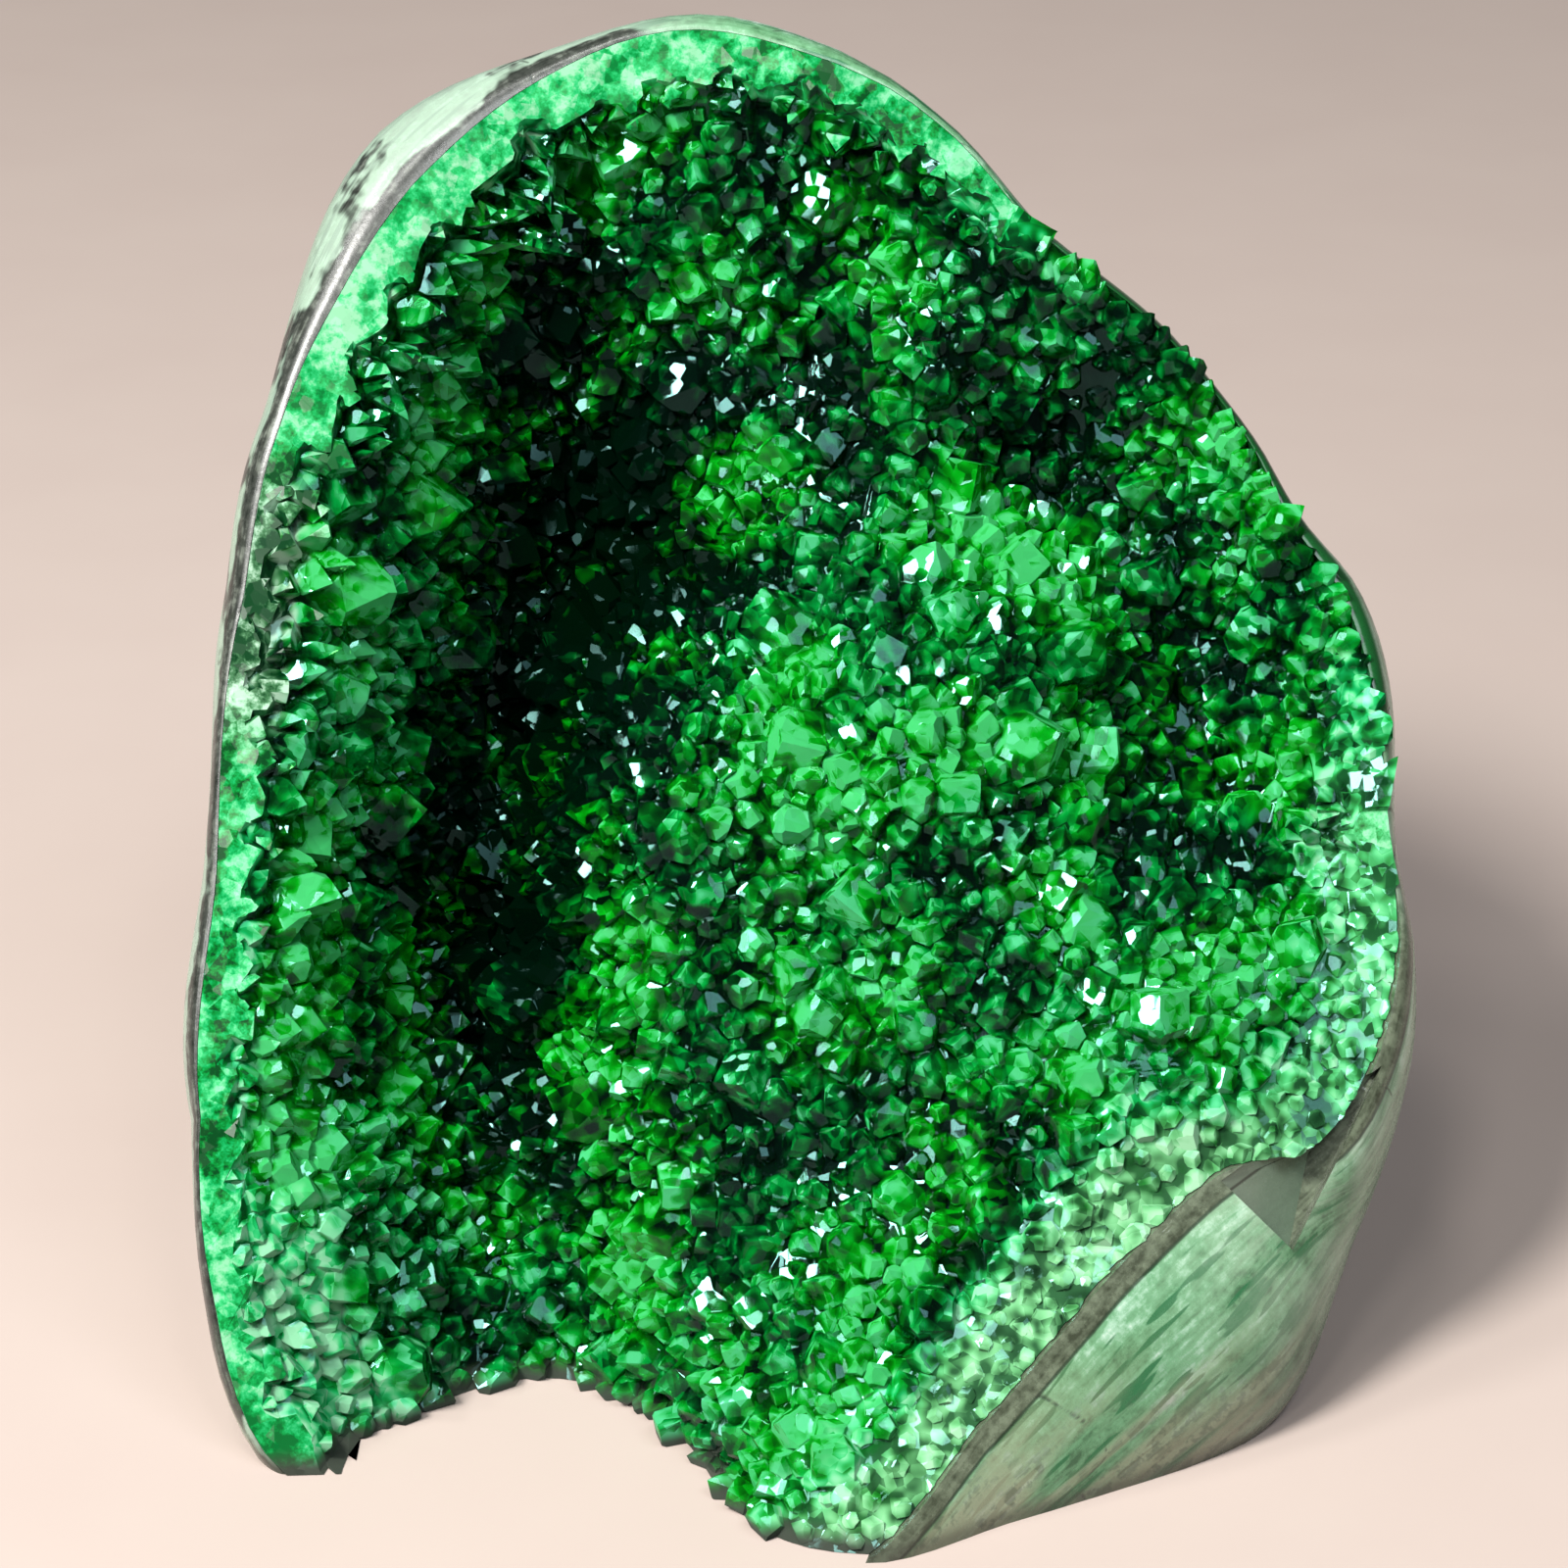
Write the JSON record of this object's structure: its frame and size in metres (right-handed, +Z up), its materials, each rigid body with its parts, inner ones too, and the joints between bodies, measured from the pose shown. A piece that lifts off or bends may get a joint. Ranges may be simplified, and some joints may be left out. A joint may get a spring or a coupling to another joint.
{
  "type": "crystal geode",
  "caption": "Freestanding geode: a polished rock shell with a flat sawn base, its hollow open face lined with a crust of green quartz crystals.",
  "frame": {"origin": "centre of the bounding box, on the plane of the sawn base", "axes": "+Z up out of the base, -Y towards the open crystal face, +X to the right seen from the open face"},
  "size_m": [0.1015, 0.0835, 0.1031],
  "materials": {
    "polished_rock": "polished grey-green stone",
    "green_quartz": "clear and milky green crystal"
  },
  "bodies": {
    "root": {"rock_shell": "polished_rock", "crystal_crust": "green_quartz"}
  },
  "joints": []
}
